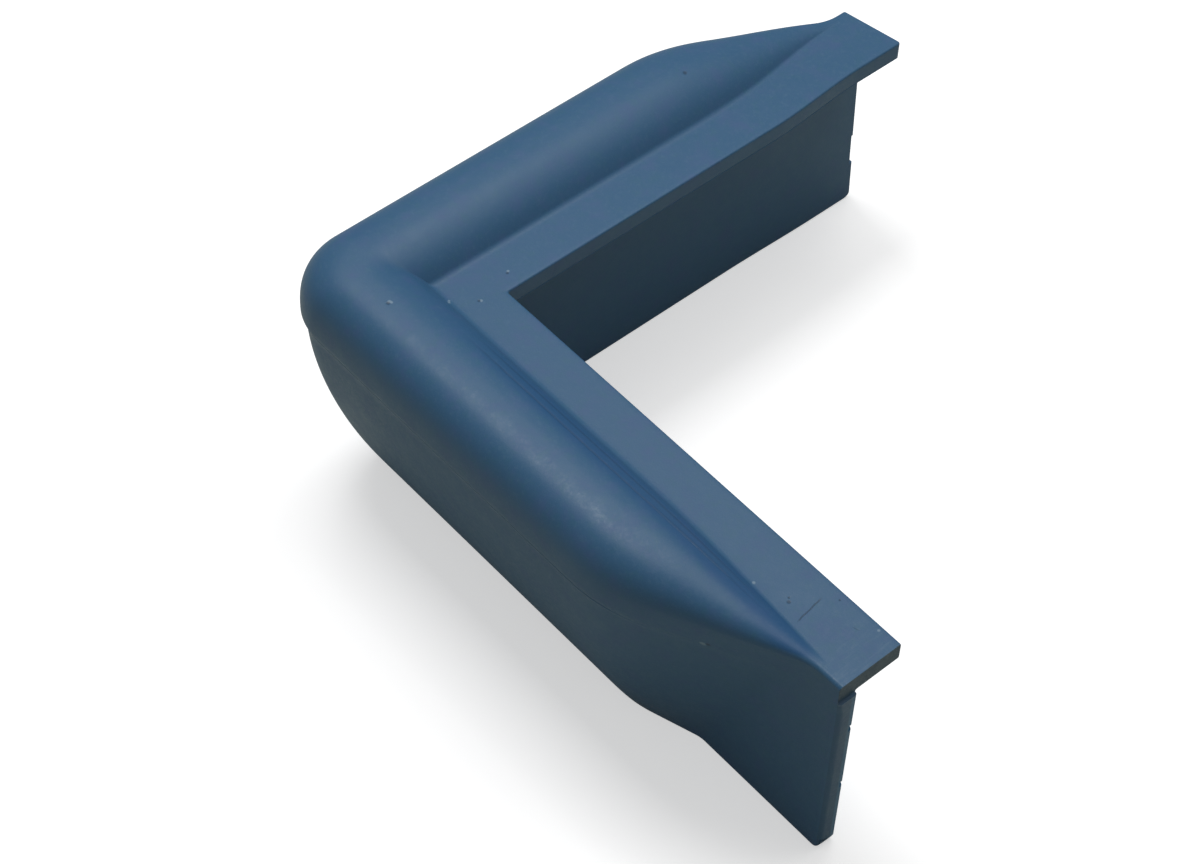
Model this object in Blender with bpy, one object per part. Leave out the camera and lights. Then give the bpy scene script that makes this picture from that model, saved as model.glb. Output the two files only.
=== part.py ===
"""Dock corner fender: one soft plastic moulding for the outer corner of a dock or pontoon.

A flat flange lies on the dock's top, a skirt hangs down its two outer sides, and a fat rounded
bulge runs along the outside of both arms and round the corner to take the rub of a boat.
The cross-section is drawn once and swept from one arm's free end, round the corner, to the other.
Units are metres, +Z is up, and the fender stands on the skirt's bottom edge.
"""

import math

import bmesh
import bpy

# Overall sizes. Offsets are measured outwards from the skirt's inner face, heights from its foot,
# and drops down from the flange's top or, for the marks at the ends, from its underside.
ARM_LENGTH = 0.400
FLANGE_HEIGHT = 0.178
FLANGE_REACH = 0.036
FLANGE_THICKNESS = 0.014
SKIRT_THICKNESS = 0.014

# The bulge in cross-section
CREST_OFFSET = 0.037
CREST_RISE = 0.021
BULGE_REACH = 0.0735
WIDEST_DROP = 0.020
SHOULDER_FULLNESS = 2.7
UNDERCUT = 0.0022
UNDERCUT_HEIGHT = 0.0055
UNDERCUT_CURVE = 1.5
PARTING_STEP = 0.0006
FOOT_REACH = 0.029
WALL_CURVE = 1.85

# The outer corner: a turn whose radius is this share of the offset from the skirt's inner face
CORNER_ROUNDNESS = 0.62

# How the bulge runs out before the free ends, as distances from the end of each arm
CREST_FADE_START = 0.176
CREST_FADE_END = 0.015
FOOT_FADE_START = 0.170
FOOT_FADE_END = 0.106
FADE_ROUNDING = 0.4
FADE_RUN_OUT = 0.12
CREASE_DRIFT = 0.008

# Small radii of the moulding
VALLEY_FILLET = 0.006
EDGE_ROUNDING = 0.0015
SHOULDER_ROUNDING = 0.003
TIP_ROUNDING = 0.003
FOOT_CORNER_RADIUS = 0.006

# Marks at the free ends: a shallow relief on the Y arm; on the X arm two small nicks, and a flange
# that ends a little before the skirt
RELIEF_DROP = 0.027
RELIEF_UPPER_HEIGHT = 0.074
RELIEF_UPPER_DEPTH = 0.0021
RELIEF_LOWER_HEIGHT = 0.028
RELIEF_LOWER_DEPTH = 0.0033
NICK_DROPS = (0.037, 0.099)
NICK_DEPTH = 0.0015
NICK_HALF_HEIGHT = 0.0025
NICK_LENGTH = 0.005
FLANGE_SET_BACK = 0.002
FLANGE_SET_BACK_DROP = 0.002

# How finely the curves are divided
VALLEY_STEPS = 3
CREST_STEPS = 8
SHOULDER_STEPS = 10
UNDERCUT_STEPS = 2
WALL_STEPS = 7
FADE_STEPS = 18
CORNER_STEPS = 14
EDGE_STEPS = 2
TIP_STEPS = 3

# Heights that follow from these sizes
FLANGE_UNDERSIDE = FLANGE_HEIGHT - FLANGE_THICKNESS
CREST_HEIGHT = FLANGE_HEIGHT + CREST_RISE
WIDEST_HEIGHT = FLANGE_HEIGHT - WIDEST_DROP
PARTING_HEIGHT = WIDEST_HEIGHT - UNDERCUT_HEIGHT

# The corner of the skirt's inner faces stands at this place, so that the origin is in the middle
INNER_CORNER = -(ARM_LENGTH - BULGE_REACH) / 2

WELD_DISTANCE = 0.00002
CUTTER_OVERSHOOT = 0.010
SHARP_ANGLE = math.radians(50)
SHADING_ANGLE = math.radians(35)


def clear_scene():
    for thing in list(bpy.data.objects):
        bpy.data.objects.remove(thing, do_unlink=True)


def satin_plastic():
    """Navy blue plastic with a satin skin, lighter where the light lies on it."""
    material = bpy.data.materials.new("navy_plastic")
    material.use_nodes = True
    shader = material.node_tree.nodes["Principled BSDF"]
    shader.inputs["Base Color"].default_value = (0.050, 0.120, 0.215, 1.0)
    shader.inputs["Roughness"].default_value = 0.48
    shader.inputs["Metallic"].default_value = 0.0
    material.diffuse_color = (0.050, 0.120, 0.215, 1.0)
    return material


def between(start, end, share):
    return start + (end - start) * share


def inner_outline():
    """The skirt's inner foot, the corner under the flange, and the flange's tip."""
    return [
        (0.0, 0.0),
        (0.0, FLANGE_UNDERSIDE),
        (-FLANGE_REACH, FLANGE_UNDERSIDE),
        (-FLANGE_REACH, FLANGE_HEIGHT),
    ]


def crest_arc():
    """The radius of the arc that rises to the crest, its slope at the flange, and how far the
    valley's fillet reaches each way from where the arc meets the flange."""
    radius = (CREST_OFFSET**2 + CREST_RISE**2) / (2 * CREST_RISE)
    slope = math.asin(CREST_OFFSET / radius)
    return radius, slope, VALLEY_FILLET * math.tan(slope / 2)


def valley_points():
    """A hollow fillet between the flat flange and the rising arc."""
    radius, slope, set_back = crest_arc()
    points = []
    for step in range(VALLEY_STEPS + 1):
        angle = slope * step / VALLEY_STEPS
        offset = -set_back + VALLEY_FILLET * math.sin(angle)
        height = FLANGE_HEIGHT + VALLEY_FILLET * (1 - math.cos(angle))
        points.append((offset, height))
    return points


def crest_points():
    """The arc from just past the valley's fillet to just before the crest."""
    radius, slope, set_back = crest_arc()
    fillet_end = slope - set_back / radius
    points = []
    for step in range(1, CREST_STEPS):
        angle = fillet_end * (1 - step / CREST_STEPS)
        offset = CREST_OFFSET - radius * math.sin(angle)
        height = CREST_HEIGHT - radius * (1 - math.cos(angle))
        points.append((offset, height))
    return points


def shoulder_points():
    """A quarter of a full-bodied ellipse from the crest to the widest place."""
    power = 2 / SHOULDER_FULLNESS
    points = []
    for step in range(SHOULDER_STEPS + 1):
        angle = math.pi / 2 * step / SHOULDER_STEPS
        out = math.sin(angle) ** power
        up = max(math.cos(angle), 0.0) ** power
        points.append((between(CREST_OFFSET, BULGE_REACH, out), between(WIDEST_HEIGHT, CREST_HEIGHT, up)))
    return points


def undercut_points():
    """The short stretch that turns in from the widest place to the parting step."""
    points = []
    for step in range(1, UNDERCUT_STEPS + 1):
        share = step / UNDERCUT_STEPS
        offset = BULGE_REACH - UNDERCUT * share**UNDERCUT_CURVE
        points.append((offset, between(WIDEST_HEIGHT, PARTING_HEIGHT, share)))
    return points


def wall_points():
    """The plainer wall from under the parting step, curving in to the foot."""
    top_offset = BULGE_REACH - UNDERCUT - PARTING_STEP
    top_height = PARTING_HEIGHT - PARTING_STEP
    points = []
    for step in range(WALL_STEPS + 1):
        share = step / WALL_STEPS
        offset = between(top_offset, FOOT_REACH, share**WALL_CURVE)
        points.append((offset, between(top_height, 0.0, share)))
    return points


def full_outline():
    """The bulge at its full size, from the valley over the crest and down to the foot."""
    return valley_points() + crest_points() + shoulder_points() + undercut_points() + wall_points()


def plain_outline():
    """Where each point of the bulge lies once the bulge has run out, on the flange or the skirt."""
    full = full_outline()
    crest = len(valley_points()) + len(crest_points())
    level = next(index for index, point in enumerate(full) if index > crest and point[1] < FLANGE_HEIGHT)
    outline = []
    for index, point in enumerate(full):
        if index <= crest:
            inset = between(CREASE_DRIFT, SHOULDER_ROUNDING, index / crest)
            outline.append((SKIRT_THICKNESS - inset, FLANGE_HEIGHT))
        elif index <= level:
            angle = math.pi / 2 * (index - crest) / (level - crest)
            offset = SKIRT_THICKNESS - SHOULDER_ROUNDING * (1 - math.sin(angle))
            outline.append((offset, FLANGE_HEIGHT - SHOULDER_ROUNDING * (1 - math.cos(angle))))
        else:
            outline.append((SKIRT_THICKNESS, point[1]))
    return outline


def fade_place(height, run):
    """How far along the arm the fade has gone at a height: it ends sooner at the foot."""
    level = height / FLANGE_HEIGHT
    start = between(FOOT_FADE_START, CREST_FADE_START, level)
    end = between(FOOT_FADE_END, CREST_FADE_END, level)
    return ARM_LENGTH - between(start, end, run)


def bulge_share(run):
    """How much of the bulge is left: a rounded start, a straight slope and a short rounded end."""
    slope = 1 / (1 - (FADE_ROUNDING + FADE_RUN_OUT) / 2)
    left = 1 - run
    if run < FADE_ROUNDING:
        return 1 - slope * run**2 / (2 * FADE_ROUNDING)
    if left < FADE_RUN_OUT:
        return slope * left**2 / (2 * FADE_RUN_OUT)
    return slope * (left - FADE_RUN_OUT / 2)


def shaped(share):
    """The closed outline with a share of the bulge, each point with its height on the plain skirt."""
    outline = [(offset, height, height) for offset, height in inner_outline()]
    for plain, full in zip(plain_outline(), full_outline()):
        offset = between(plain[0], full[0], share)
        outline.append((offset, between(plain[1], full[1], share), plain[1]))
    return outline


def fade_ring(run):
    """A ring across the X arm whose points have all faded as far as each other."""
    outline = shaped(bulge_share(run))
    return [(fade_place(level, run), -offset, height) for offset, height, level in outline]


def plain_ring(place, share):
    """A flat ring across the X arm."""
    return [(place, -offset, height) for offset, height, level in shaped(share)]


def corner_ring(angle):
    """The full section turned round the corner; the inner side stays on the mitre line."""
    ring = []
    for offset, height, level in shaped(1.0):
        radius = CORNER_ROUNDNESS * max(offset, 0.0)
        centre = offset - radius
        ring.append((-centre - radius * math.sin(angle), -centre - radius * math.cos(angle), height))
    return ring


def rings():
    """All rings in order: down the X arm, round the corner, and out along the Y arm."""
    x_arm = [plain_ring(ARM_LENGTH, 0.0)]
    x_arm += [fade_ring(1 - step / FADE_STEPS) for step in range(FADE_STEPS + 1)]
    x_arm.append(plain_ring(FLANGE_REACH + EDGE_ROUNDING * 2, 1.0))
    y_arm = [[(y, x, height) for x, y, height in ring] for ring in reversed(x_arm)]
    corner = [corner_ring(math.pi / 2 * step / CORNER_STEPS) for step in range(CORNER_STEPS + 1)]
    return x_arm + corner + y_arm


def skin(mesh, sections):
    """Quads between neighbouring sections and a face over each free end, welded into one body."""
    loops = [[mesh.verts.new(point) for point in ring] for ring in sections]
    for first, second in zip(loops, loops[1:]):
        for index in range(len(first)):
            following = (index + 1) % len(first)
            corners = (first[index], first[following], second[following], second[index])
            mesh.faces.new(corners)
    mesh.faces.new(reversed(loops[0]))
    mesh.faces.new(loops[-1])
    bmesh.ops.remove_doubles(mesh, verts=mesh.verts, dist=WELD_DISTANCE)
    bmesh.ops.dissolve_degenerate(mesh, dist=WELD_DISTANCE, edges=mesh.edges)
    bmesh.ops.recalc_face_normals(mesh, faces=mesh.faces)


def near(value, target):
    return abs(value - target) < WELD_DISTANCE


def in_end_zone(point):
    return max(point.x, point.y) > ARM_LENGTH - FOOT_CORNER_RADIUS - WELD_DISTANCE


def on_foot(point):
    return near(point.z, 0.0)


def on_dock_side(point):
    """On the skirt's inner faces or anywhere on the flange beyond them."""
    return min(point.x, point.y) > -WELD_DISTANCE


def at_end(point):
    return near(max(point.x, point.y), ARM_LENGTH)


def at_end_of_foot(point):
    return at_end(point) and on_foot(point)


def at_end_of_flange_tip(point):
    return at_end(point) and near(min(point.x, point.y), FLANGE_REACH)


def round_off(mesh, edges, radius, steps):
    bmesh.ops.bevel(
        mesh,
        geom=edges,
        offset=radius,
        offset_type="OFFSET",
        segments=steps,
        profile=0.5,
        affect="EDGES",
        clamp_overlap=True,
    )


def edges_where(mesh, test):
    return [edge for edge in mesh.edges if all(test(vert.co) for vert in edge.verts)]


def sharp_edges(mesh):
    """The moulding's sharp edges, apart from the parting step, which stays crisp."""
    places = (in_end_zone, on_foot, on_dock_side)
    chosen = {edge for test in places for edge in edges_where(mesh, test)}
    return [edge for edge in chosen if edge.calc_face_angle(0.0) > SHARP_ANGLE]


def round_moulding(mesh):
    """The skirt's lower corners and the flange's tips first, then every other sharp edge."""
    round_off(mesh, edges_where(mesh, at_end_of_foot), FOOT_CORNER_RADIUS, TIP_STEPS)
    round_off(mesh, edges_where(mesh, at_end_of_flange_tip), TIP_ROUNDING, TIP_STEPS)
    round_off(mesh, sharp_edges(mesh), EDGE_ROUNDING, EDGE_STEPS)


def prism(name, corners, sweep):
    """A cutter: a flat polygon pushed along one direction."""
    mesh = bmesh.new()
    face = mesh.faces.new([mesh.verts.new(corner) for corner in corners])
    pushed = bmesh.ops.extrude_face_region(mesh, geom=[face])
    moved = [item for item in pushed["geom"] if isinstance(item, bmesh.types.BMVert)]
    bmesh.ops.translate(mesh, verts=moved, vec=sweep)
    bmesh.ops.recalc_face_normals(mesh, faces=mesh.faces)
    cutter = add_object(name, mesh)
    cutter.hide_render = True
    cutter.display_type = "WIRE"
    return cutter


def relief_cutter(name, low, high, depth):
    """Takes a shallow band off the end of the Y arm's skirt."""
    near_side = -SKIRT_THICKNESS - CUTTER_OVERSHOOT
    floor = ARM_LENGTH - depth
    outside = ARM_LENGTH + CUTTER_OVERSHOOT
    corners = [
        (near_side, floor, low),
        (near_side, outside, low),
        (near_side, outside, high),
        (near_side, floor, high),
    ]
    return prism(name, corners, (SKIRT_THICKNESS + 2 * CUTTER_OVERSHOOT, 0.0, 0.0))


def nick_cutter(name, drop):
    """A small V across the inner edge of the X arm's end."""
    start = -NICK_LENGTH
    height = FLANGE_UNDERSIDE - drop
    corners = [
        (ARM_LENGTH - NICK_DEPTH, start, height),
        (ARM_LENGTH + NICK_DEPTH, start, height - 2 * NICK_HALF_HEIGHT),
        (ARM_LENGTH + NICK_DEPTH, start, height + 2 * NICK_HALF_HEIGHT),
    ]
    return prism(name, corners, (0.0, NICK_LENGTH + CUTTER_OVERSHOOT, 0.0))


def set_back_cutter(name):
    """Takes a little off the end of the X arm's flange, so that the skirt's end stands beyond it."""
    start = -SKIRT_THICKNESS - CUTTER_OVERSHOOT
    low = FLANGE_UNDERSIDE - FLANGE_SET_BACK_DROP
    high = FLANGE_HEIGHT + CUTTER_OVERSHOOT
    face = ARM_LENGTH - FLANGE_SET_BACK
    outside = ARM_LENGTH + CUTTER_OVERSHOOT
    corners = [
        (face, start, low),
        (outside, start, low),
        (outside, start, high),
        (face, start, high),
    ]
    return prism(name, corners, (0.0, FLANGE_REACH + SKIRT_THICKNESS + 2 * CUTTER_OVERSHOOT, 0.0))


def end_cutters():
    top = FLANGE_UNDERSIDE - RELIEF_DROP
    middle = top - RELIEF_UPPER_HEIGHT
    bottom = middle - RELIEF_LOWER_HEIGHT
    cutters = [
        relief_cutter("relief_upper_cutter", middle, top, RELIEF_UPPER_DEPTH),
        relief_cutter("relief_lower_cutter", bottom, middle, RELIEF_LOWER_DEPTH),
        set_back_cutter("set_back_cutter"),
    ]
    for number, drop in enumerate(NICK_DROPS, start=1):
        cutters.append(nick_cutter(f"nick_cutter_{number}", drop))
    return cutters


def add_object(name, mesh):
    """Turns a finished bmesh into an object of the scene."""
    data = bpy.data.meshes.new(name)
    mesh.to_mesh(data)
    mesh.free()
    thing = bpy.data.objects.new(name, data)
    thing.location = (INNER_CORNER, INNER_CORNER, 0.0)
    bpy.context.scene.collection.objects.link(thing)
    return thing


def cut(body, cutter):
    modifier = body.modifiers.new(cutter.name, "BOOLEAN")
    modifier.operation = "DIFFERENCE"
    modifier.solver = "EXACT"
    modifier.object = cutter


def build():
    clear_scene()
    mesh = bmesh.new()
    skin(mesh, rings())
    round_moulding(mesh)
    fender = add_object("corner_fender", mesh)
    fender.data.materials.append(satin_plastic())
    fender.data.shade_smooth()
    fender.data.set_sharp_from_angle(angle=SHADING_ANGLE)
    for cutter in end_cutters():
        cut(fender, cutter)


build()
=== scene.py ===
# %% [markdown]
# # A corner fender for a dock
# This lesson dresses one moulded piece of soft plastic: a flat flange that lies on the dock, a
# skirt that hangs down its two sides, and a fat bulge that takes a boat's rub.
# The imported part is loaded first. It is the fixed frame: its box says how large the look may be.

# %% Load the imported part
import math

import bpy
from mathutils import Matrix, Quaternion, Vector


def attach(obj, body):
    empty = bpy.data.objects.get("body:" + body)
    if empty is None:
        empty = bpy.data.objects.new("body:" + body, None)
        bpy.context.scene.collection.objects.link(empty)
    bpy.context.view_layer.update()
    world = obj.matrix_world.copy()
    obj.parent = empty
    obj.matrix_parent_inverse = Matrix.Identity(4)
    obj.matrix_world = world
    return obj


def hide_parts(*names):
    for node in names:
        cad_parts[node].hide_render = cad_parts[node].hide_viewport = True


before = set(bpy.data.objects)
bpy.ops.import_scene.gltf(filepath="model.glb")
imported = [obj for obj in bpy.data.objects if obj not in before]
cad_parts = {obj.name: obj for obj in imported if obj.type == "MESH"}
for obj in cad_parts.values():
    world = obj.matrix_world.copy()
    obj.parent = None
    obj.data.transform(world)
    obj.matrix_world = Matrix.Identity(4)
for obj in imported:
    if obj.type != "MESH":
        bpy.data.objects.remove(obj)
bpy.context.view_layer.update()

# %% [markdown]
# ## Camera
# The photograph looks down on the corner at about 51 degrees, from the right, and it is held
# slightly askew. A camera is set by what it looks at, how far away it is, and its two angles, so
# those are the values, and Blender turns the direction into a rotation.

# %% Place the camera
AIM = Vector((-0.0474, -0.1151, 0.1))
DISTANCE = 1.8604
AZIMUTH = math.radians(47.51)
ELEVATION = math.radians(50.67)
ROLL = math.radians(2.07)
LENS = 84.88
SENSOR_WIDTH = 36

level = Vector((math.sin(AZIMUTH), -math.cos(AZIMUTH), 0.0))
towards_camera = level * math.cos(ELEVATION) + Vector((0, 0, math.sin(ELEVATION)))
turn = (-towards_camera).to_track_quat("-Z", "Y") @ Quaternion((0, 0, 1), ROLL)
bpy.ops.object.camera_add(location=AIM + towards_camera * DISTANCE, rotation=turn.to_euler())
camera = bpy.context.object
camera.data.lens = LENS
camera.data.sensor_width = SENSOR_WIDTH
bpy.context.scene.camera = camera
print("Camera at", tuple(round(value, 3) for value in camera.location))

# %% [markdown]
# ## Sizes of the moulding
# The fender has one cross-section, swept along both arms and round the corner. It is measured
# from the corner of the skirt's two inner faces: an offset goes outwards from there, a height goes
# up from the foot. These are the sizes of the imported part, written again in metres.

# %% Sizes of the section
ARM_LENGTH = 0.400
FLANGE_HEIGHT = 0.178
FLANGE_REACH = 0.036
FLANGE_UNDERSIDE = 0.164
SKIRT_THICKNESS = 0.014
CREST_OFFSET = 0.037
CREST_HEIGHT = 0.199
SHOULDER_FULLNESS = 2.7
BULGE_REACH = 0.0735
WIDEST_HEIGHT = 0.158
PARTING_HEIGHT = 0.1525
UNDERCUT = 0.0022
PARTING_STEP = 0.0006
FOOT_REACH = 0.029
VALLEY_FILLET = 0.006
SHOULDER_ROUNDING = 0.003
EDGE_ROUNDING = 0.0015
INNER_CORNER = -(ARM_LENGTH - BULGE_REACH) / 2

# %% [markdown]
# ## The section's curves
# Every curve is a list of points. A point holds four numbers: its offset and height where the
# bulge is full, and its offset and height where the bulge has run out and only the flat skirt is
# left. With both at hand, any stage in between is a simple blend.

# %% Blends, arcs and points that the bulge leaves alone
def between(start, end, share):
    return start + (end - start) * share


def steps(count):
    return [step / count for step in range(count + 1)]


def arc(centre, radius, start, end, count):
    """Points round a centre, from one angle to another in degrees."""
    points = []
    for share in steps(count):
        angle = math.radians(between(start, end, share))
        points.append((centre[0] + radius * math.cos(angle), centre[1] + radius * math.sin(angle)))
    return points


def line(start, end, count):
    """Points strictly between two places."""
    return [tuple(between(a, b, share) for a, b in zip(start, end)) for share in steps(count)[1:-1]]


def unchanged(points):
    return [(offset, height, offset, height) for offset, height in points]


# %% [markdown]
# The inner side is straight walls joined by small radii. A mould leaves no edge sharp, and the
# light on those small radii is what makes an edge look moulded. The flange's lower tip also keeps
# a thin lip of flash, where the two halves of the mould met.

# %% Inner side of the section
FLASH_LIP = 0.0005
EDGE_STEPS = 5
TIP_STEPS = 6
SKIRT_STEPS = 14
UNDERSIDE_STEPS = 8
TIP_FACE_STEPS = 4


def inner_points():
    r = EDGE_ROUNDING
    tip_low = arc((-FLANGE_REACH + r, FLANGE_UNDERSIDE + r), r, 270, 180, TIP_STEPS)
    middle = TIP_STEPS // 2
    tip_low[middle] = (tip_low[middle][0] - FLASH_LIP, tip_low[middle][1] - FLASH_LIP / 2)
    tip_high = arc((-FLANGE_REACH + r, FLANGE_HEIGHT - r), r, 180, 90, TIP_STEPS)
    foot = arc((r, r), r, 270, 180, EDGE_STEPS)
    under = arc((-r, FLANGE_UNDERSIDE - r), r, 0, 90, EDGE_STEPS)
    points = foot + line(foot[-1], under[0], SKIRT_STEPS) + under
    points += line(under[-1], tip_low[0], UNDERSIDE_STEPS) + tip_low
    points += line(tip_low[-1], tip_high[0], TIP_FACE_STEPS) + tip_high
    return unchanged(points)


# %% [markdown]
# From the flange the top sinks into a valley, rises in one large arc to the crest, and turns over
# a shoulder shaped as a quarter of a full-bodied ellipse. Where the bulge runs out, its crest
# sinks to the flange's level, so these points also get their place on the plain skirt. The
# shoulder's points before the level angle round the skirt's top edge there, and those after it
# spread down the skirt's outer side.

# %% Top of the section
VALLEY_END_SHARE = 3 / 11
CREASE_DRIFT = 0.008
LEVEL_ANGLE = 72
NEXT_ANGLE = 81
GROOVE_OFFSETS = (0.0101, 0.0176)
GROOVE_HALF_WIDTH = 0.0010
VALLEY_STEPS = 6
CREST_STEPS = 24
SHOULDER_STEPS = 28

crest_rise = CREST_HEIGHT - FLANGE_HEIGHT
arc_radius = (CREST_OFFSET**2 + crest_rise**2) / crest_rise / 2
arc_slope = math.asin(CREST_OFFSET / arc_radius)
set_back = VALLEY_FILLET * math.tan(arc_slope / 2)


def on_plain_top(share):
    """Where a point between the valley and the crest lies on the flat flange's outer strip."""
    return SKIRT_THICKNESS - between(CREASE_DRIFT, SHOULDER_ROUNDING, share), FLANGE_HEIGHT


def valley_points():
    points = []
    for share in steps(VALLEY_STEPS):
        angle = arc_slope * share
        offset = -set_back + VALLEY_FILLET * math.sin(angle)
        height = FLANGE_HEIGHT + VALLEY_FILLET * (1 - math.cos(angle))
        points.append((offset, height, *on_plain_top(share * VALLEY_END_SHARE)))
    return points


def crest_points():
    """The arc to the crest, with extra points beside and in the two fine grooves."""
    first = arc_slope - set_back / arc_radius
    start = CREST_OFFSET - arc_radius * math.sin(first)
    offsets = [between(start, CREST_OFFSET, share) for share in steps(CREST_STEPS)[1:-1]]
    for groove in GROOVE_OFFSETS:
        offsets = [offset for offset in offsets if abs(offset - groove) > 2 * GROOVE_HALF_WIDTH]
        offsets += [groove + side * GROOVE_HALF_WIDTH for side in (-1, 0, 1)]
    points = []
    for offset in sorted(offsets):
        angle = math.asin((CREST_OFFSET - offset) / arc_radius)
        height = CREST_HEIGHT - arc_radius * (1 - math.cos(angle))
        share = VALLEY_END_SHARE + (1 - VALLEY_END_SHARE) * (1 - angle / first)
        points.append((offset, height, *on_plain_top(share)))
    return points


def shoulder_place(angle):
    """A point of the full-bodied quarter ellipse, as shares of its reach outwards and upwards."""
    out, up = math.sin(angle), max(math.cos(angle), 0)
    size = (out**SHOULDER_FULLNESS + up**SHOULDER_FULLNESS) ** (-1 / SHOULDER_FULLNESS)
    return out * size, up * size


def shoulder_height(degrees):
    up = max(math.cos(math.radians(degrees)), 0) ** (2 / SHOULDER_FULLNESS)
    return between(WIDEST_HEIGHT, CREST_HEIGHT, up)


def shoulder_points():
    points = []
    for share in steps(SHOULDER_STEPS):
        out, up = shoulder_place(math.pi / 2 * share)
        offset = between(CREST_OFFSET, BULGE_REACH, out)
        height = between(WIDEST_HEIGHT, CREST_HEIGHT, up)
        degrees = math.degrees(math.asin(min(out ** (SHOULDER_FULLNESS / 2), 1)))
        plain_angle = math.pi / 2 * min(degrees / LEVEL_ANGLE, 1)
        plain_offset = SKIRT_THICKNESS - SHOULDER_ROUNDING * (1 - math.sin(plain_angle))
        plain_height = FLANGE_HEIGHT - SHOULDER_ROUNDING * (1 - math.cos(plain_angle))
        if degrees > LEVEL_ANGLE:
            past = min((degrees - LEVEL_ANGLE) / (NEXT_ANGLE - LEVEL_ANGLE), 1)
            plain_height = between(plain_height, shoulder_height(max(degrees, NEXT_ANGLE)), past)
        points.append((offset, height, plain_offset, plain_height))
    return points


# %% [markdown]
# Below its widest place the bulge turns in a little and meets the mould's parting line: a thin
# bead of flash on a small step. A plainer wall curves in from there to the foot. Each place on the
# step says how far it lies below the parting line, and how much of the step it has taken.

# %% Lower side of the section
UNDERCUT_CURVE = 1.5
UNDERCUT_STEPS = 5
BEAD_HEIGHT = 0.0003
BEAD_DROP = 0.0007
STEP_PLACES = ((0.0018, 0.2), (0.0032, 0.8))
WALL_CURVE = 1.85
WALL_START = 0.01
WALL_STEPS = 26
FOOT_STEPS = 3
FLANGE_STEPS = 12


def undercut_points():
    points = []
    for share in steps(UNDERCUT_STEPS)[1:]:
        offset = BULGE_REACH - UNDERCUT * share**UNDERCUT_CURVE
        height = between(WIDEST_HEIGHT, PARTING_HEIGHT, share)
        points.append((offset, height, SKIRT_THICKNESS, height))
    return points


def wall_place(share):
    top = BULGE_REACH - UNDERCUT - PARTING_STEP
    offset = between(top, FOOT_REACH, share**WALL_CURVE)
    return offset, between(PARTING_HEIGHT - PARTING_STEP, 0, share)


def wall_points():
    step_out = BULGE_REACH - UNDERCUT
    wall = [(step_out + BEAD_HEIGHT, PARTING_HEIGHT - BEAD_DROP)]
    wall += [(step_out - PARTING_STEP * share, PARTING_HEIGHT - drop) for drop, share in STEP_PLACES]
    last = 1 - EDGE_ROUNDING / PARTING_HEIGHT
    wall += [wall_place(between(WALL_START, last, share)) for share in steps(WALL_STEPS)[1:]]
    return [(offset, height, SKIRT_THICKNESS, height) for offset, height in wall]


def foot_points():
    """The outer edge of the foot, rounded, and the flat foot itself."""
    start = wall_place(1 - EDGE_ROUNDING / PARTING_HEIGHT)
    points = []
    for share in steps(EDGE_STEPS)[1:]:
        first, second, third = (1 - share)**2, 2 * share * (1 - share), share**2
        height = start[1] * first
        offset = start[0] * first + FOOT_REACH * second + (FOOT_REACH - EDGE_ROUNDING) * third
        plain = SKIRT_THICKNESS * (first + second) + (SKIRT_THICKNESS - EDGE_ROUNDING) * third
        points.append((offset, height, plain, height))
    for share in steps(FOOT_STEPS)[1:-1]:
        offset = between(FOOT_REACH - EDGE_ROUNDING, EDGE_ROUNDING, share)
        plain = between(SKIRT_THICKNESS - EDGE_ROUNDING, EDGE_ROUNDING, share)
        points.append((offset, 0.0, plain, 0.0))
    return points


def section_points():
    inner = inner_points()
    valley = valley_points()
    flange_top = unchanged(line(inner[-1][:2], valley[0][:2], FLANGE_STEPS))
    bulge = valley + crest_points() + shoulder_points() + undercut_points()
    return inner + flange_top + bulge + wall_points() + foot_points()


section = section_points()
print("Points round the section:", len(section))

# %% [markdown]
# ## Rings along the arms
# A ring is the section at one station. Near a free end the bulge runs out along a slope that ends
# sooner at the foot than at the crest, so the rings there lean. The last few millimetres draw in
# to round the end's edges.

# %% Rings along one arm
CREST_FADE = (0.176, 0.015)
FOOT_FADE = (0.170, 0.106)
FADE_ROUNDING = 0.4
FADE_RUN_OUT = 0.12
FOOT_CORNER = 0.006
TIP_CORNER = 0.003
CORNER_SHARE = 0.62
MITRE_SHARE = 0.15
MITRE_CURVE = 1.5
STEP_GONE = 0.65
STEP_RETURN = 0.30
POINTS_ABOVE_STEP = 2
POINTS_ACROSS_STEP = 6
SAME = 1e-9


def fade_place(height, run):
    level = height / FLANGE_HEIGHT
    start = between(FOOT_FADE[0], CREST_FADE[0], level)
    end = between(FOOT_FADE[1], CREST_FADE[1], level)
    return ARM_LENGTH - between(start, end, run)


def bulge_share(run):
    """How much of the bulge is left: a rounded start, a straight slope and a short rounded end."""
    slope = 1 / (1 - (FADE_ROUNDING + FADE_RUN_OUT) / 2)
    left = 1 - run
    if run < FADE_ROUNDING:
        return 1 - slope * run**2 / (2 * FADE_ROUNDING)
    if left < FADE_RUN_OUT:
        return slope * left**2 / (2 * FADE_RUN_OUT)
    return slope * (left - FADE_RUN_OUT / 2)


def blended(share):
    """The outline with a share of the bulge: offset, height, and height on the plain skirt."""
    outline = []
    for offset, height, plain_offset, plain_height in section:
        now = between(plain_offset, offset, share), between(plain_height, height, share)
        outline.append((*now, plain_height))
    return smoothed(outline, min(max((share - STEP_GONE) / STEP_RETURN, 0), 1))


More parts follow.
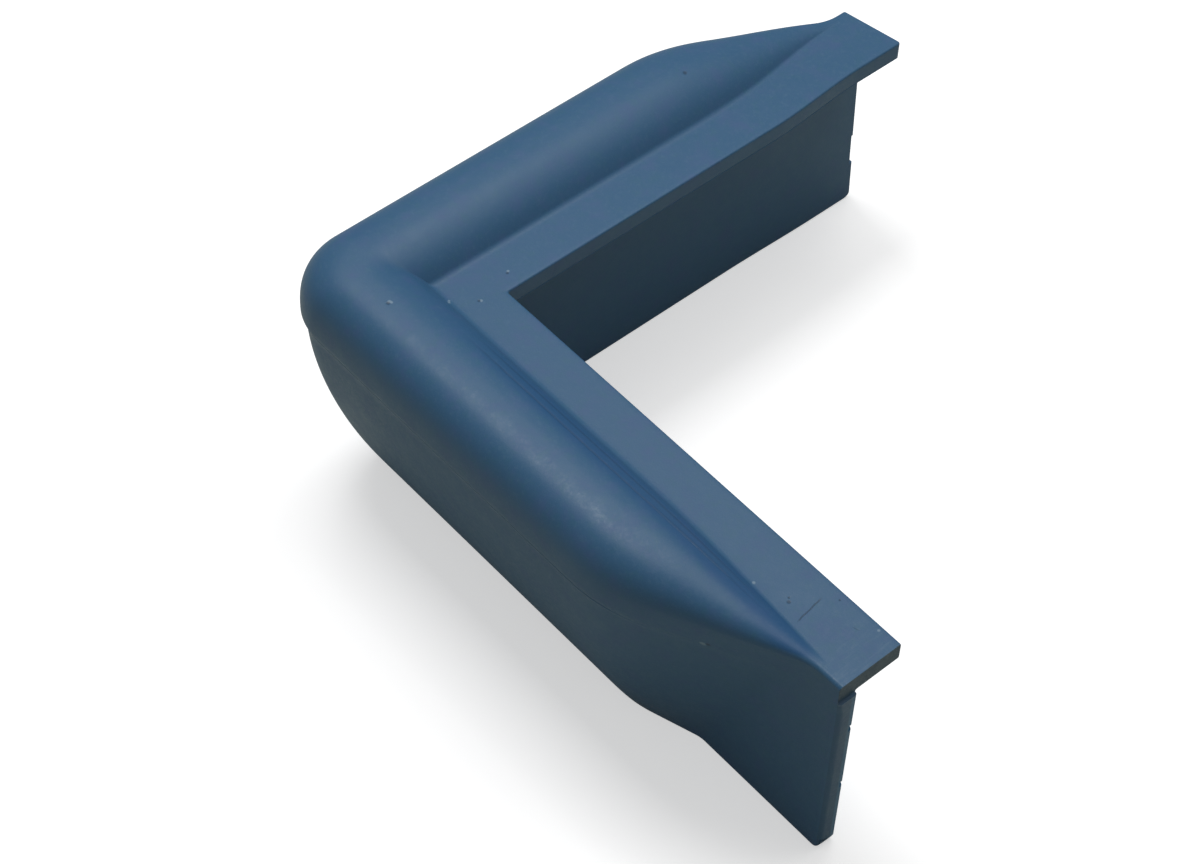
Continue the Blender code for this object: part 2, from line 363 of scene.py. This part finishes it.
def smoothed(outline, keep):
    """The parting step fades into the wall where the bulge runs out."""
    heights = [point[1] for point in section]
    step = next(i for i, height in enumerate(heights) if abs(height - PARTING_HEIGHT) < SAME)
    first = step - POINTS_ABOVE_STEP
    last = first + POINTS_ACROSS_STEP
    result = list(outline)
    for index in range(first, last):
        share = (outline[first][1] - outline[index][1]) / (outline[first][1] - outline[last][1])
        straight = between(outline[first][0], outline[last][0], share)
        result[index] = (between(straight, outline[index][0], keep), *outline[index][1:])
    return result


def fade_ring(run):
    outline = blended(bulge_share(run))
    return [(fade_place(plain, run), offset, height) for offset, height, plain in outline]


def corner_radius(offset):
    """Nearly a mitre from the valley up the inner slope, and wide from the crest outwards."""
    past_slope = min(max(offset / CREST_OFFSET, 0), 1)
    return max(between(MITRE_SHARE, CORNER_SHARE, past_slope**MITRE_CURVE) * offset, EDGE_ROUNDING)


def corner_ring(angle):
    """The full section turned round the corner, tightly on the inside and widely outside."""
    ring = []
    for offset, height, _ in blended(1):
        radius = corner_radius(offset)
        centre = offset - radius
        along = -centre - radius * math.sin(angle)
        ring.append((along, centre + radius * math.cos(angle), height))
    return ring


# %% [markdown]
# The end itself is a stack of rings that shrink along the section's own normals. The outer edge
# of the skirt's end is worn round, the other edges are tighter, and the skirt's lower corner and
# the flange's tip pull back too, each round its own radius.

# %% Rings that round an end
WORN_ROUNDING = 0.0045
INSET_SHARE = 0.9
WORN_BELOW_FLANGE = 0.012
LIFTED_HEIGHT = 0.03
TIP_SHARE = 0.4
END_BACKS = (0, 0.00003, 0.00012, 0.00028, 0.0005, 0.0008)
END_BACKS += (0.0012, 0.0016, 0.0023, 0.0032, 0.0045, 0.0062)
PLAIN_RINGS = 10
FADE_RINGS = 64
FULL_RINGS = 56


def pulled(place, radius):
    """How far a corner of this radius has pulled back at this place along the arm."""
    past = max(place - (ARM_LENGTH - radius), 0)
    return radius - math.sqrt(max(radius**2 - past**2, 0))


def end_ring(place):
    outline = [point[2:] for point in section]
    lift = pulled(place, FOOT_CORNER)
    pull = pulled(place, TIP_CORNER)
    tip = FLANGE_REACH * TIP_SHARE
    ring = []
    for index, (offset, height) in enumerate(outline):
        before = Vector(outline[index - 1])
        after = Vector(outline[(index + 1) % len(outline)])
        run = (after - before).normalized()
        outer = min(max(offset / SKIRT_THICKNESS * 2 - 1, 0), 1)
        low = min(max((FLANGE_UNDERSIDE - height) / WORN_BELOW_FLANGE, 0), 1)
        rounding = between(EDGE_ROUNDING, WORN_ROUNDING, outer * low)
        inset = INSET_SHARE * pulled(place, rounding)
        offset += run.y * inset
        height -= run.x * inset
        height += lift * max(1 - height / LIFTED_HEIGHT, 0)
        offset += pull * max((-FLANGE_REACH + tip - offset) / tip, 0)
        ring.append((place, offset, height))
    return ring


def moved_ring(first, second, share):
    return [tuple(between(a, b, share) for a, b in zip(p, q)) for p, q in zip(first, second)]


def arm_rings():
    """From the free end of an arm to where the corner begins."""
    rings = [end_ring(ARM_LENGTH - back) for back in END_BACKS]
    last_plain, first_fade = rings[-1], fade_ring(1)
    rings += [moved_ring(last_plain, first_fade, share) for share in steps(PLAIN_RINGS)[1:]]
    rings += [fade_ring(1 - share) for share in steps(FADE_RINGS)[1:]]
    full, turning = rings[-1], corner_ring(0)
    rings += [moved_ring(full, turning, share) for share in steps(FULL_RINGS)[1:-1]]
    return rings


# %% [markdown]
# Two fine lines run along the slope inside the near arm's crest, where the mould's liner was
# joined. They are pressed into the rings of that arm alone, and fade out at both ends.

# %% The two fine grooves of the near arm
GROOVE_DEPTH = 0.00045
GROOVE_ENDS = (0.050, 0.100, 0.270, 0.345)


def groove_strength(place):
    start, full, waning, end = GROOVE_ENDS
    rise = min(max((place - start) / (full - start), 0), 1)
    fall = min(max((end - place) / (end - waning), 0), 1)
    return rise * fall


def grooved(ring):
    pressed = []
    for (place, offset, height), point in zip(ring, section):
        in_groove = any(abs(point[0] - groove) < SAME for groove in GROOVE_OFFSETS)
        if in_groove and point[1] > FLANGE_HEIGHT:
            height -= GROOVE_DEPTH * groove_strength(place)
        pressed.append((place, offset, height))
    return pressed


# %% [markdown]
# A soft moulding never stays quite true. Towards its free end the far arm leans: its top has moved
# outwards by about five millimetres, while its foot has stayed nearly where it was.

# %% The far arm's lean, and all rings in a row
LEAN_START, LEAN_FULL = 0.275, 0.360
LEAN_TOP = 0.0050
LEAN_FOOT = -0.0015
CORNER_RINGS = 44


def leaning(x, y, z):
    share = min(max((y - LEAN_START) / (LEAN_FULL - LEAN_START), 0), 1)
    eased = share * share * (3 - 2 * share)
    return x - between(LEAN_FOOT, LEAN_TOP, min(z / FLANGE_UNDERSIDE, 1)) * eased, y, z


def all_rings():
    """Down the near arm, which runs along X, round the corner, and out along the far arm."""
    arm = arm_rings()
    corner = [corner_ring(math.pi / 2 * share) for share in steps(CORNER_RINGS)]
    rings = [[(x, -offset, z) for x, offset, z in grooved(ring)] for ring in arm]
    rings += [[(x, -offset, z) for x, offset, z in ring] for ring in corner]
    rings += [[leaning(-offset, y, z) for y, offset, z in ring] for ring in reversed(arm)]
    return rings


rings = all_rings()
print("Rings from end to end:", len(rings))

# %% [markdown]
# ## Wrapping the skin
# A sheet of paper can be wrapped round a shape by giving each of its squares a place. A grid
# primitive is that sheet here: each row becomes one ring, and its first and last columns meet
# along the foot, where they are merged. The two open ends are then closed with one face each.

# %% Wrap a grid round the rings
MERGE_DISTANCE = 0.00002

bpy.ops.object.select_all(action="DESELECT")
bpy.ops.mesh.primitive_grid_add(x_subdivisions=len(section), y_subdivisions=len(rings) - 1)
fender = bpy.context.object
fender.name = "fender_skin"
fender.data.name = "fender_skin"

wrapped = []
for ring in rings:
    for x, y, z in ring + ring[:1]:
        wrapped += (x + INNER_CORNER, y + INNER_CORNER, z)
fender.data.vertices.foreach_set("co", wrapped)
fender.data.update()

bpy.ops.object.mode_set(mode="EDIT")
bpy.ops.mesh.select_all(action="SELECT")
bpy.ops.mesh.remove_doubles(threshold=MERGE_DISTANCE)
bpy.ops.mesh.select_all(action="DESELECT")
bpy.ops.mesh.select_mode(type="EDGE")
bpy.ops.mesh.select_non_manifold(
    extend=False,
    use_wire=False,
    use_multi_face=False,
    use_non_contiguous=False,
    use_verts=False,
)
bpy.ops.mesh.fill_holes(sides=0)
bpy.ops.mesh.select_all(action="SELECT")
bpy.ops.mesh.normals_make_consistent(inside=False)
bpy.ops.object.mode_set(mode="OBJECT")
fender.location = (0, 0, 0)
print("Faces of the skin:", len(fender.data.polygons))

# %% [markdown]
# ## Marks at the free ends
# The saw that trimmed the moulding left its traces: the near arm's flange ends a little before
# its skirt, the far arm's flange was cut off askew, two nicks stand in the skirt's inner edge, and
# the far arm's end has a shallow relief in two depths. Each is taken out with a small block and the
# Boolean modifier, which is applied. It uses the fast solver, because the exact one returns an
# empty mesh on this fine skin.

# %% Cut the marks
SKEW = math.radians(9.5)
FLANGE_SET_BACK = 0.0020
RELIEF_HIGH_DEPTH = 0.0021
RELIEF_LOW_DEPTH = 0.0033
PAST_END = 0.42


def block(name, low, high):
    """A box between two corners given from the skirt's inner corner."""
    middle = [(a + b) / 2 for a, b in zip(low, high)]
    size = [b - a for a, b in zip(low, high)]
    place = (middle[0] + INNER_CORNER, middle[1] + INNER_CORNER, middle[2])
    bpy.ops.object.select_all(action="DESELECT")
    bpy.ops.mesh.primitive_cube_add(size=1, location=place, scale=size)
    bpy.context.object.name = name
    return bpy.context.object


def cut_out(body, cutter):
    modifier = body.modifiers.new(cutter.name, "BOOLEAN")
    modifier.operation = "DIFFERENCE"
    modifier.solver = "FAST"
    modifier.object = cutter
    bpy.ops.object.select_all(action="DESELECT")
    bpy.context.view_layer.objects.active = body
    body.select_set(True)
    bpy.ops.object.modifier_apply(modifier=modifier.name)
    bpy.data.objects.remove(cutter, do_unlink=True)


flange_end = ARM_LENGTH - FLANGE_SET_BACK
high_end = ARM_LENGTH - RELIEF_HIGH_DEPTH
low_end = ARM_LENGTH - RELIEF_LOW_DEPTH
cut_out(fender, block("set_back", (flange_end, -0.03, 0.162), (PAST_END, 0.05, 0.20)))
cut_out(fender, block("relief_high", (-0.03, high_end, 0.063), (0.02, PAST_END, 0.137)))
cut_out(fender, block("relief_low", (-0.03, low_end, 0.035), (0.02, PAST_END, 0.0634)))

askew = block("askew", (-0.0365, 0.3956, 0.162), (0.0535, 0.4256, 0.202))
bpy.ops.transform.rotate(value=-SKEW, orient_axis="Z", center_override=askew.location)
print("Turn of the askew block in degrees:", round(math.degrees(askew.rotation_euler.z), 1))
cut_out(fender, askew)
print("Faces after the cuts:", len(fender.data.polygons))

# %% [markdown]
# The nicks are small V cuts: the block is turned by 45 degrees about the arm's own width.

# %% Cut the nicks
NICK_SIZE = 0.0075
NICK_DEPTH = 0.0030
NICK_INSIDE = 0.002
NICK_STRETCH = 1.3
NICK_HEIGHTS = (0.127, 0.065)
SMOOTH_ANGLE = math.radians(35)


def nick(height):
    middle = ARM_LENGTH - NICK_DEPTH + NICK_SIZE * math.sqrt(0.5)
    place = (middle + INNER_CORNER, INNER_CORNER + NICK_INSIDE, height)
    turn = (0, math.radians(45), 0)
    bpy.ops.object.select_all(action="DESELECT")
    bpy.ops.mesh.primitive_cube_add(size=NICK_SIZE, location=place, rotation=turn)
    bpy.ops.transform.resize(value=(1, NICK_STRETCH, 1))
    bpy.context.object.name = "nick"
    return bpy.context.object


for height in NICK_HEIGHTS:
    cut_out(fender, nick(height))

fender.data.shade_smooth()
bpy.ops.object.select_all(action="DESELECT")
bpy.context.view_layer.objects.active = fender
fender.select_set(True)
bpy.ops.object.shade_smooth_by_angle(angle=SMOOTH_ANGLE)
print("Faces with the nicks:", len(fender.data.polygons))

# %% [markdown]
# ## A small language for materials
# A material is a graph of nodes. Written node by node it is long and hard to read, so a number
# socket is wrapped in a class that knows +, -, * and /. An expression such as 0.5 + mask * 0.2
# then adds the Math nodes by itself. Every other node comes from one method of the finish.

# %% Numbers that become nodes
class Number:
    """A socket that carries a number, and takes part in Python's sums."""

    def __init__(self, finish, socket):
        self.finish = finish
        self.socket = socket

    def sum(self, operation, first, second):
        return self.finish.math(operation, first, second)

    def __add__(self, other):
        return self.sum("ADD", self, other)

    def __radd__(self, other):
        return self.sum("ADD", other, self)

    def __sub__(self, other):
        return self.sum("SUBTRACT", self, other)

    def __mul__(self, other):
        return self.sum("MULTIPLY", self, other)

    def __truediv__(self, other):
        return self.sum("DIVIDE", self, other)


class Finish:
    """One material, and short ways to add nodes to it."""

    def __init__(self, name):
        self.material = bpy.data.materials.new(name)
        self.material.use_nodes = True
        self.tree = self.material.node_tree
        self.shader = self.tree.nodes["Principled BSDF"]

    def link(self, socket, value):
        if isinstance(value, Number):
            self.tree.links.new(value.socket, socket)
        elif isinstance(value, bpy.types.NodeSocket):
            self.tree.links.new(value, socket)
        else:
            socket.default_value = value

    def node(self, kind, settings=None, inputs=None):
        node = self.tree.nodes.new(kind)
        for name, value in (settings or {}).items():
            setattr(node, name, value)
        for name, value in (inputs or {}).items():
            self.link(node.inputs[name], value)
        return node

    def math(self, operation, first, second=0.0):
        node = self.node("ShaderNodeMath", {"operation": operation}, {0: first, 1: second})
        return Number(self, node.outputs[0])

    def clamped(self, value):
        settings = {"operation": "ADD", "use_clamp": True}
        return Number(self, self.node("ShaderNodeMath", settings, {0: value, 1: 0.0}).outputs[0])

    def smooth(self, value, low, high):
        """0 below low and 1 above high, with a smooth rise in between, or the fall the other way."""
        inputs = {"Value": value, "From Min": low, "From Max": high}
        node = self.node("ShaderNodeMapRange", {"interpolation_type": "SMOOTHSTEP"}, inputs)
        return Number(self, node.outputs["Result"])

    def noise(self, place, scale, detail, roughness):
        inputs = {"Vector": place, "Scale": scale, "Detail": detail, "Roughness": roughness}
        return Number(self, self.node("ShaderNodeTexNoise", None, inputs).outputs["Fac"])

    def stretched(self, place, scale):
        """The place, drawn out or squeezed along each axis, for a pattern with a direction."""
        inputs = {"Vector": place, "Scale": scale}
        return self.node("ShaderNodeMapping", None, inputs).outputs["Vector"]

    def mixed(self, factor, first, second):
        node = self.node("ShaderNodeMix", {"data_type": "RGBA"}, {0: factor, 6: first, 7: second})
        return node.outputs[2]

    def distance(self, place, point):
        inputs = {0: place, 1: point}
        node = self.node("ShaderNodeVectorMath", {"operation": "DISTANCE"}, inputs)
        return Number(self, node.outputs["Value"])


# %% [markdown]
# ## The navy plastic
# The real skin is a soft plastic with a satin sheen. Seen close it isn't one blue: it has small
# cloudy patches that lean to violet or to green, a very fine grain from the mould, and a slow
# unevenness that makes the light on it wander. All of that is noise at different sizes, read from
# the object's own coordinates, so that it stays on the skin from every side.

# %% Plastic colour, sheen and grain
NAVY = (0.031, 0.097, 0.188, 1)
NAVY_VIOLET = (0.040, 0.094, 0.198, 1)
NAVY_GREEN = (0.030, 0.103, 0.172, 1)
NAVY_PALE = (0.052, 0.124, 0.212, 1)
# The last blue is painted shade, for the slope inside the near arm's crest.
NAVY_PAINTED_SHADE = (0.008, 0.062, 0.176, 1)

plastic = Finish("navy_plastic")
place = plastic.node("ShaderNodeTexCoord").outputs["Object"]
clouds = plastic.noise(place, 60, 3, 0.6)
patches = plastic.noise(place, 150, 3, 0.6)
grain = plastic.noise(place, 1100, 2, 0.6)
mottle = plastic.noise(place, 380, 2, 0.6)
waves = plastic.noise(place, 55, 2, 0.5)

violet = plastic.smooth(clouds, 0.45, 0.75)
green = plastic.smooth(patches, 0.48, 0.75) * 0.6
colour = plastic.mixed(violet, NAVY, NAVY_VIOLET)
colour = plastic.mixed(green, colour, NAVY_GREEN)
colour = plastic.mixed(plastic.smooth(mottle, 0.50, 0.80) * 0.45, colour, NAVY_PALE)
colour = plastic.mixed(plastic.smooth(grain, 0.45, 0.75) * 0.30, colour, NAVY_PALE)
roughness = 0.47 + (clouds - 0.5) * 0.20 + (mottle - 0.5) * 0.24 + (grain - 0.5) * 0.24

# %% [markdown]
# ## Wear, small marks and painted light
# A fender carries small marks. A pale line is painted along the bead at the parting line, most of
# all near the corner. The near arm's sawn end is painted dark, most of all on the flange's end,
# and paler along its inner edge. Its little ledge lies in the flange's shadow and is painted pale:
# painted light. The flange is scuffed beside it. Such places are found by their distance from a
# plane.

# %% Pale seam, scuffs, end face and painted light on the ledge
# One pale colour for the seam line, the scuffs, and the painted light on the ledge.
PALE_FOR_SEAM_SCUFFS_AND_LIGHT = (0.105, 0.175, 0.255, 1)
SAWN = (0.013, 0.034, 0.046, 1)
CUT_EDGE = (0.045, 0.140, 0.250, 1)
axes = plastic.node("ShaderNodeSeparateXYZ", None, {"Vector": place}).outputs
along_x = Number(plastic, axes[0]) - INNER_CORNER
along_y = Number(plastic, axes[1]) - INNER_CORNER
height = Number(plastic, axes[2])


def band(value, middle, half_width):
    """1 on a plane and 0 from half a width away on either side."""
    return plastic.smooth(plastic.math("ABSOLUTE", value - middle), half_width, half_width * 0.35)


past_near_arm = plastic.smooth(along_y, -0.016, -0.022)
past_far_arm = plastic.smooth(along_x, -0.016, -0.022)
outside = plastic.clamped(past_near_arm + past_far_arm)
near_corner = plastic.smooth(along_x, 0.270, 0.120) * plastic.smooth(along_y, 0.270, 0.120)
seam = band(height, PARTING_HEIGHT - 0.0009, 0.0026) * outside * (near_corner * 0.85 + 0.12)

trimmed = plastic.smooth(along_x, ARM_LENGTH - 0.0030, ARM_LENGTH - 0.0018)
# Painted light: the ledge lies in the flange's shadow, and this mask paints it pale.
painted_light_on_ledge = trimmed * band(height, FLANGE_UNDERSIDE - 0.002, 0.002)
below_flange = plastic.smooth(height, FLANGE_UNDERSIDE, FLANGE_UNDERSIDE - 0.003)
inner_strip = trimmed * plastic.smooth(along_y, -0.0048, -0.0034) * below_flange

sawn_end = plastic.smooth(along_x, ARM_LENGTH - 0.0026, ARM_LENGTH - 0.0021)
sawn = sawn_end * plastic.smooth(height, 0.1777, 0.1768)
streaks = plastic.noise(plastic.stretched(place, (420, 60, 60)), 1.0, 3, 0.6)
top_end = plastic.smooth(along_x, 0.352, 0.395) * plastic.smooth(height, 0.1765, 0.1778)
scuffs = plastic.smooth(streaks, 0.50, 0.70) * top_end
# The seam line, the scuffs and the painted light on the ledge share one pale colour.
seam_scuffs_and_painted_light = plastic.clamped(seam + painted_light_on_ledge * 0.60 + scuffs * 0.22)

# %% [markdown]
# Then there are single marks: pits, pale marks, dark specks and two fine scratches. A spot is
# found by its distance from a point, and a scratch by its distance from a line. A spot is written
# as its place in millimetres from the skirt's inner corner, and its radius. Where a pale spot and a
# dark one stand side by side, they paint a pit: a painted highlight on its raised lip and painted
# shade in its hollow. The other spots are pale marks and dark specks on the plastic.

# %% Single marks
# Pale spots; those paired with a dark spot are a painted highlight on a pit's lip.
PALE_MARKS_AND_LIP_HIGHLIGHTS = (
    (9.0, -39.2, 199.0, 1.3),
    (10.4, -38.6, 199.0, 1.0),
    (19.5, 0.2, 178.6, 1.2),
    (18.0, 1.6, 178.2, 0.9),
    (30.9, 17.9, 178, 1.1),
    (22.0, 47.8, 178, 1.0),
    (309.6, -0.4, 178, 1.1),
    (382.7, 32.4, 178, 1.0),
    (311.6, -41.5, 155.5, 2.3),
)
# Dark spots; those paired with a pale spot are painted shade in a pit's hollow.
DARK_SPECKS_AND_PIT_SHADE = (
    (9.6, -40.8, 199.0, 1.3),
    (30.2, 16.6, 178, 1.0),
    (23.2, 46.2, 178, 1.0),
    (333.5, 5.8, 178, 1.3),
    (331.2, 8.0, 178, 0.8),
    (314.8, -40.5, 156.4, 1.8),
    (-28.2, 247.0, 198.0, 1.6),
    (352.0, 30.0, 178, 0.7),
)
PALE = (0.17, 0.25, 0.33, 1)
DARK = (0.010, 0.032, 0.066, 1)


def spots(marks):
    """1 in the middle of every mark and 0 away from them all."""
    total = 0.0
    for x, y, z, radius in marks:
        spot = (x / 1000 + INNER_CORNER, y / 1000 + INNER_CORNER, z / 1000)
        away = plastic.distance(place, spot)
        total = plastic.smooth(away, 1.4 * radius / 1000, radius / 2000) + total
    return plastic.clamped(total)


def scratch(start, end, half_width):
    """A fine line on the flange between two places, thinning out at both ends."""
    length = math.dist(start, end)
    run = [(b - a) / length for a, b in zip(start, end)]
    wander = (plastic.noise(place, 130, 2, 0.5) - 0.5) * 0.0016
    across = (along_x - start[0]) * run[1] - (along_y - start[1]) * run[0] + wander
    along = (along_x - start[0]) * run[0] + (along_y - start[1]) * run[1]
    within = plastic.smooth(along, 0.0, 0.004) * plastic.smooth(along, length, length - 0.006)
    return band(across, 0.0, half_width) * within * plastic.smooth(height, 0.1770, 0.1777)


pale_spots_and_lip_highlights = spots(PALE_MARKS_AND_LIP_HIGHLIGHTS)
dark_specks_and_pit_shade = spots(DARK_SPECKS_AND_PIT_SHADE)
long_scratch = scratch((0.3473, -0.0011), (0.3434, 0.0246), 0.0007)
short_scratch = scratch((0.3700, 0.0215), (0.3770, 0.0245), 0.0005)
scratches = plastic.clamped(long_scratch + short_scratch * 0.7)
scratches_specks_and_pit_shade = plastic.clamped(dark_specks_and_pit_shade + scratches)

# %% [markdown]
# The slope inside the near arm's crest is painted a deeper blue, more of it away from the corner:
# painted shade on the valley side of the crest. Its two fine grooves get a thin line of painted
# shade. Where the bulge runs out the grooves drift inwards, towards the flange, and their painted
# shade follows them.

# %% The near arm's inner slope
GROOVE_DRIFTS = (0.0016, 0.0053)
DRIFT_LENGTH = 0.121
# Half the width of the painted shade line in each groove.
GROOVE_SHADE_HALF_WIDTH = 0.0014


def groove_shade(offset, drift):
    """The painted shade in one groove, between the groove's two ends."""
    start, full, waning, end = GROOVE_ENDS
    run_out = plastic.clamped((along_x - (ARM_LENGTH - CREST_FADE[0])) / DRIFT_LENGTH)
    across = band(along_y + offset, run_out * drift, GROOVE_SHADE_HALF_WIDTH)
    length = plastic.smooth(along_x, start, full) * plastic.smooth(along_x, end, waning)
    return across * length * plastic.smooth(height, FLANGE_HEIGHT, FLANGE_HEIGHT + 0.001)


above_flange = plastic.smooth(height, FLANGE_HEIGHT, FLANGE_HEIGHT + 0.0015)
inner_slope = band(along_y, -0.013, 0.016) * above_flange
# Painted shade: a deeper blue on the inner slope, growing away from the corner.
painted_slope_shade = inner_slope * (plastic.smooth(along_x, -0.020, 0.150) * 0.45 + 0.10)
# Painted shade: a thin dark line along each groove.
first_groove, second_groove = map(groove_shade, GROOVE_OFFSETS, GROOVE_DRIFTS)
grooves = first_groove + second_groove

# %% [markdown]
# The colour is mixed in this order: the plastic and its cut ends, the painted shade on the slope
# and in its grooves, the pale seam line, the scuffs and the painted light on the ledge, and the
# marks, where paired spots paint a pit's lit lip and shaded hollow. The pits and scratches also
# press the surface in a little, through the bump.

# %% Put the plastic together
sawn_strength = plastic.smooth(height, 0.158, 0.166) * 0.50 + 0.20
colour = plastic.mixed(sawn * sawn_strength, colour, SAWN)
colour = plastic.mixed(inner_strip * 0.85, colour, CUT_EDGE)
# Painted shade on the near arm's inner slope and in its two grooves.
colour = plastic.mixed(painted_slope_shade, colour, NAVY_PAINTED_SHADE)
colour = plastic.mixed(grooves * 0.30, colour, DARK)
# Pale seam line, scuffs, and painted light on the shaded ledge.
colour = plastic.mixed(seam_scuffs_and_painted_light, colour, PALE_FOR_SEAM_SCUFFS_AND_LIGHT)
# Pale marks and dark specks; paired, they paint a pit's lit lip and shaded hollow.
colour = plastic.mixed(pale_spots_and_lip_highlights * 0.75, colour, PALE)
colour = plastic.mixed(scratches_specks_and_pit_shade * 0.70, colour, DARK)
plastic.link(plastic.shader.inputs["Base Color"], colour)
plastic.link(plastic.shader.inputs["Roughness"], roughness + seam_scuffs_and_painted_light * 0.10)
plastic.shader.inputs["IOR"].default_value = 1.5
plastic.shader.inputs["Specular IOR Level"].default_value = 0.30

relief = waves * 1.2 + mottle * 0.30 + grain * 0.30 + pale_spots_and_lip_highlights * 0.8 - scratches_specks_and_pit_shade * 0.8
bump = plastic.node("ShaderNodeBump", None, {"Strength": 0.5, "Distance": 0.0003, "Height": relief})
plastic.link(plastic.shader.inputs["Normal"], bump.outputs["Normal"])
fender.data.materials.append(plastic.material)
print("Nodes in the plastic:", len(plastic.tree.nodes))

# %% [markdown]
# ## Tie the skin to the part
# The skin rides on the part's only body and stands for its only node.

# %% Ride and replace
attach(fender, "root")
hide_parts("corner_fender")

# %% [markdown]
# ## Floor and backdrop
# The picture has a white ground. The camera sees the floor as white, with the fender's soft
# shadow on it. To the plastic the same floor is pale and slightly warm, like unpainted concrete:
# that is what gives the upright sides of the real fender their greenish brown cast. Glossy rays
# take only a tenth of the white, because a white floor mirrored in the satin skin would wash out
# the lower walls.

# %% Make the floor
FLOOR_WARM = (0.53, 0.55, 0.45)
FLOOR_WHITE = 0.70
FLOOR_GLOW = 0.52
GLOSSY_SHARE = 0.10
FLOOR_SIZE = 12
FLOOR_DROP = 0.0005

bpy.ops.object.select_all(action="DESELECT")
bpy.ops.mesh.primitive_plane_add(size=FLOOR_SIZE, location=(0, 0, -FLOOR_DROP))
floor = bpy.context.object
floor.name = "floor"
paper = Finish("floor_paper")
rays = paper.node("ShaderNodeLightPath").outputs
seen_directly = Number(paper, rays["Is Camera Ray"]) + Number(paper, rays["Is Transmission Ray"])
seen = paper.clamped(seen_directly + Number(paper, rays["Is Glossy Ray"]) * GLOSSY_SHARE)
speckle = paper.noise(paper.node("ShaderNodeTexCoord").outputs["Object"], 400, 2, 0.5)
white = FLOOR_WHITE + (speckle - 0.5) * 0.004
tones = [seen * (white - part) + part for part in FLOOR_WARM]
glow = seen * FLOOR_GLOW
floor_colour = paper.node("ShaderNodeCombineColor", None, dict(enumerate(tones)))
paper.link(paper.shader.inputs["Base Color"], floor_colour.outputs[0])
paper.shader.inputs["Roughness"].default_value = 1.0
paper.shader.inputs["Specular IOR Level"].default_value = 0.0
paper.shader.inputs["Emission Strength"].default_value = 1.0
floor_glow = paper.node("ShaderNodeCombineColor", None, {0: glow, 1: glow, 2: glow})
paper.link(paper.shader.inputs["Emission Color"], floor_glow.outputs[0])
floor.data.materials.append(paper.material)

# %% [markdown]
# ## Light
# Two soft boxes hang high on the left and behind, and they draw the long soft highlights along
# both arms. A weak one over the dock side opens the slopes that face it, and a faint even sky
# fills the rest.

# %% Sky and lamps
SKY_LEVEL = 0.27
LAMP_SIZE = 0.8
MIDDLE = Vector((0, 0, 0.1))

world = bpy.data.worlds.new("studio")
world.use_nodes = True
bpy.context.scene.world = world
tree = world.node_tree
sky = tree.nodes["Background"]
sky.inputs["Color"].default_value = (1, 1, 1, 1)
path = tree.nodes.new("ShaderNodeLightPath")
shown = tree.nodes.new("ShaderNodeMath")
shown.operation = "MAXIMUM"
tree.links.new(path.outputs["Is Camera Ray"], shown.inputs[0])
tree.links.new(path.outputs["Is Transmission Ray"], shown.inputs[1])
strength = tree.nodes.new("ShaderNodeMapRange")
strength.inputs["To Min"].default_value = SKY_LEVEL
strength.inputs["To Max"].default_value = 1.0
tree.links.new(shown.outputs[0], strength.inputs["Value"])
tree.links.new(strength.outputs["Result"], sky.inputs["Strength"])


def soft_box(name, place, power):
    """A square lamp that hangs at a place and points at the fender's middle."""
    turn = (MIDDLE - Vector(place)).to_track_quat("-Z", "Y").to_euler()
    bpy.ops.object.light_add(type="AREA", location=place, rotation=turn)
    lamp = bpy.context.object
    lamp.name = name
    lamp.data.shape = "SQUARE"
    lamp.data.size = LAMP_SIZE
    lamp.data.energy = power


soft_box("key", (-0.862, 0, 2.233), 26.5)
soft_box("second", (-0.431, 0.746, 2.233), 9.8)
soft_box("dock_side", (0.431, 0.746, 2.233), 6.2)

bpy.context.scene.view_settings.view_transform = "Standard"
